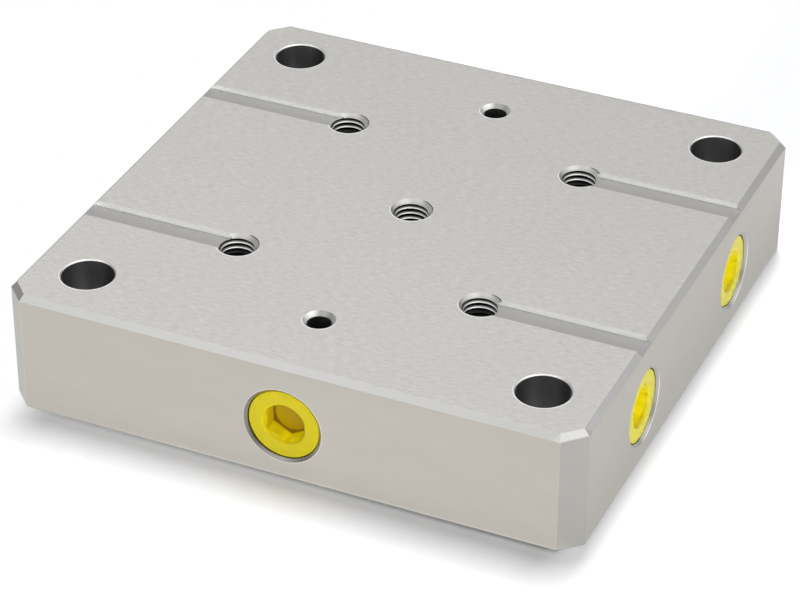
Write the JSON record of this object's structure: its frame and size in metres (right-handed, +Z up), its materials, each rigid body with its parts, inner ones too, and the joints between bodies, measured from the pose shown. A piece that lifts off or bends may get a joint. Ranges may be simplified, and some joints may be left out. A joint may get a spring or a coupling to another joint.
{
  "type": "vise base plate",
  "caption": "Square ground steel plate that carries a clamping vise, with corner fixing holes, threaded holes, surface grooves and plugged side ports.",
  "frame": {"origin": "centre of the underside, the face that lies on the machine table", "axes": "+Z up through the plate's thickness, -Y to the front side with one port, +X to the right side with two ports"},
  "size_m": [0.126, 0.126, 0.0275],
  "materials": {
    "ground_steel": "surface-ground, fine grain along the length, broken edges",
    "yellow_plastic": "moulded, smooth"
  },
  "bodies": {
    "plate": {"base_plate": "ground_steel"},
    "plug_front": {"port_plug_front": "yellow_plastic"},
    "plug_rear": {"port_plug_rear": "yellow_plastic"},
    "plug_right_front": {"port_plug_right_front": "yellow_plastic"},
    "plug_right_rear": {"port_plug_right_rear": "yellow_plastic"}
  },
  "joints": [
    {"name": "unscrew_front", "type": "slide", "parent": "plate", "child": "plug_front", "axis": [0, -1, 0], "range_m": [0, 0.016]},
    {"name": "unscrew_rear", "type": "slide", "parent": "plate", "child": "plug_rear", "axis": [0, 1, 0], "range_m": [0, 0.016]},
    {"name": "unscrew_right_front", "type": "slide", "parent": "plate", "child": "plug_right_front", "axis": [1, 0, 0], "range_m": [0, 0.016]},
    {"name": "unscrew_right_rear", "type": "slide", "parent": "plate", "child": "plug_right_rear", "axis": [1, 0, 0], "range_m": [0, 0.016]}
  ]
}
